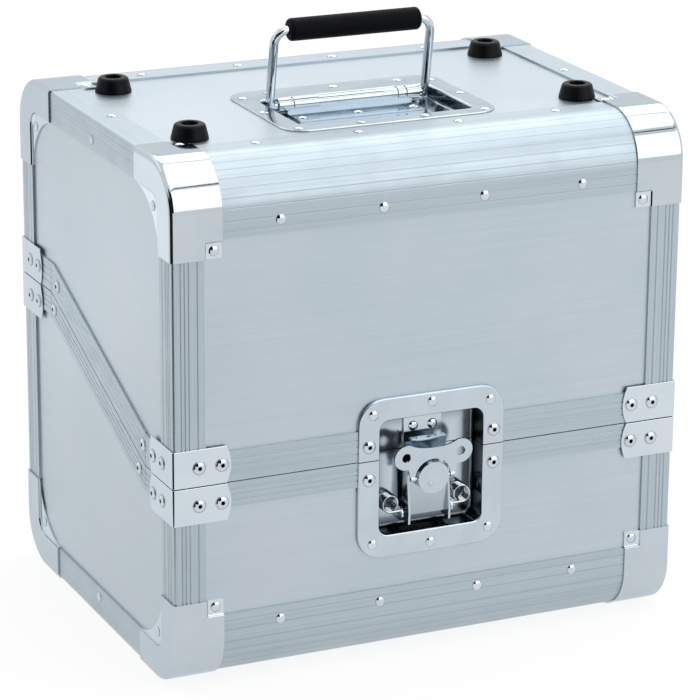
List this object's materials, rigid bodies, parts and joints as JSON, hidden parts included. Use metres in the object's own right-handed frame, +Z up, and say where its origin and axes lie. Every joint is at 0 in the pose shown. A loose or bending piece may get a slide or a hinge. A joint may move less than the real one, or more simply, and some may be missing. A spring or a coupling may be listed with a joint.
{
  "type": "record carrying case",
  "caption": "Rounded carrying case for records with aluminium faces and edge profiles, a slanted hinged lid, a butterfly latch, a folding top handle and stacking feet.",
  "frame": {"origin": "centre of the case in plan, on the surface that the bottom corner plates stand on", "axes": "+Z up, out of the lid's top and the standing handle; -Y out of the front, where the latch is; X across the width"},
  "size_m": [0.3706, 0.2951, 0.4116],
  "materials": {
    "laminate_face": "brushed sheet facing of a plywood laminate",
    "profile_aluminium": "drawn, with fine lengthwise grooves",
    "bright_steel_plate": "bright plated sheet",
    "bright_rivet": "bright plated",
    "lining_foam": "matt closed-cell foam sheet",
    "hinge_plate": "plated, satin",
    "plain_steel": "plain",
    "spring_wire": "drawn wire",
    "latch_plate": "bright plated, satin",
    "latch_key_metal": "bright plated, satin",
    "handle_wire": "bright plated",
    "grip_foam": "matt foam sleeve",
    "foot_rubber": "moulded rubber, semi-matt"
  },
  "bodies": {
    "base": {"base_front_panel": "laminate_face", "base_rear_panel": "laminate_face", "base_left_panel": "laminate_face", "base_right_panel": "laminate_face", "base_floor_panel": "laminate_face", "base_front_edge": "profile_aluminium", "base_rear_edge": "profile_aluminium", "base_left_edge": "profile_aluminium", "base_right_edge": "profile_aluminium", "base_front_posts": "profile_aluminium", "base_rear_posts": "profile_aluminium", "base_front_rail": "profile_aluminium", "base_rear_rail": "profile_aluminium", "base_left_rail": "profile_aluminium", "base_right_rail": "profile_aluminium", "base_front_corners": "bright_steel_plate", "base_rear_corners": "bright_steel_plate", "base_front_brackets": "bright_steel_plate", "base_rear_brackets": "bright_steel_plate", "base_rivets": "bright_rivet", "base_lining": "lining_foam", "hinge_base_leaves": "hinge_plate", "hinge_pins": "plain_steel", "latch_base_dish": "bright_steel_plate", "latch_springs": "spring_wire", "latch_pivot_pin": "plain_steel"},
    "lid": {"lid_front_panel": "laminate_face", "lid_rear_panel": "laminate_face", "lid_left_panel": "laminate_face", "lid_right_panel": "laminate_face", "lid_top_panel": "laminate_face", "lid_front_edge": "profile_aluminium", "lid_rear_edge": "profile_aluminium", "lid_left_edge": "profile_aluminium", "lid_right_edge": "profile_aluminium", "lid_front_posts": "profile_aluminium", "lid_rear_posts": "profile_aluminium", "lid_front_rail": "profile_aluminium", "lid_rear_rail": "profile_aluminium", "lid_left_rail": "profile_aluminium", "lid_right_rail": "profile_aluminium", "lid_front_corners": "bright_steel_plate", "lid_rear_corners": "bright_steel_plate", "lid_front_brackets": "bright_steel_plate", "lid_rear_brackets": "bright_steel_plate", "lid_rivets": "bright_rivet", "lid_lining": "lining_foam", "hinge_lid_leaves": "hinge_plate", "latch_lid_dish": "bright_steel_plate", "latch_keeper": "latch_plate", "handle_dish": "bright_steel_plate", "handle_strap": "latch_plate", "stacking_feet": "foot_rubber", "foot_screws": "plain_steel"},
    "handle": {"handle_bail": "handle_wire", "handle_grip": "grip_foam"},
    "latch_frame_body": {"latch_frame": "latch_plate"},
    "latch_knob_body": {"latch_knob": "latch_key_metal"},
    "latch_key_body": {"latch_key": "latch_key_metal"},
    "latch_hook_body": {"latch_hook": "latch_plate"}
  },
  "joints": [
    {"name": "lid_hinge", "type": "hinge", "parent": "base", "child": "lid", "pos_m": [0, 0.145, 0.2107], "axis": [-1, 0, 0], "range_deg": [0, 100]},
    {"name": "handle_fold", "type": "hinge", "parent": "lid", "child": "handle", "pos_m": [0, -0.005, 0.3508], "axis": [1, 0, 0], "range_deg": [-9.5, 76.9]},
    {"name": "latch_swing", "type": "hinge", "parent": "base", "child": "latch_frame_body", "pos_m": [0, -0.132, 0.099], "axis": [1, 0, 0], "range_deg": [-4, 0], "stiffness_Nm_per_rad": 0.05, "springref_deg": 20.05},
    {"name": "latch_turn", "type": "hinge", "parent": "latch_frame_body", "child": "latch_knob_body", "pos_m": [0, -0.1429, 0.12581], "axis": [0, 0.9976, 0.0698], "range_deg": [0, 180]},
    {"name": "latch_draw", "type": "slide", "parent": "latch_frame_body", "child": "latch_hook_body", "axis": [0, 0.0698, -0.9976], "range_m": [0, 0.005]},
    {"name": "key_flip", "type": "hinge", "parent": "latch_knob_body", "child": "latch_key_body", "pos_m": [0, -0.1435, 0.12576], "axis": [1, 0, 0], "range_deg": [0, 90]}
  ],
  "couplings": [
    {"joint": "latch_draw", "follows": "latch_turn", "m_per_rad": 0.0015915}
  ]
}
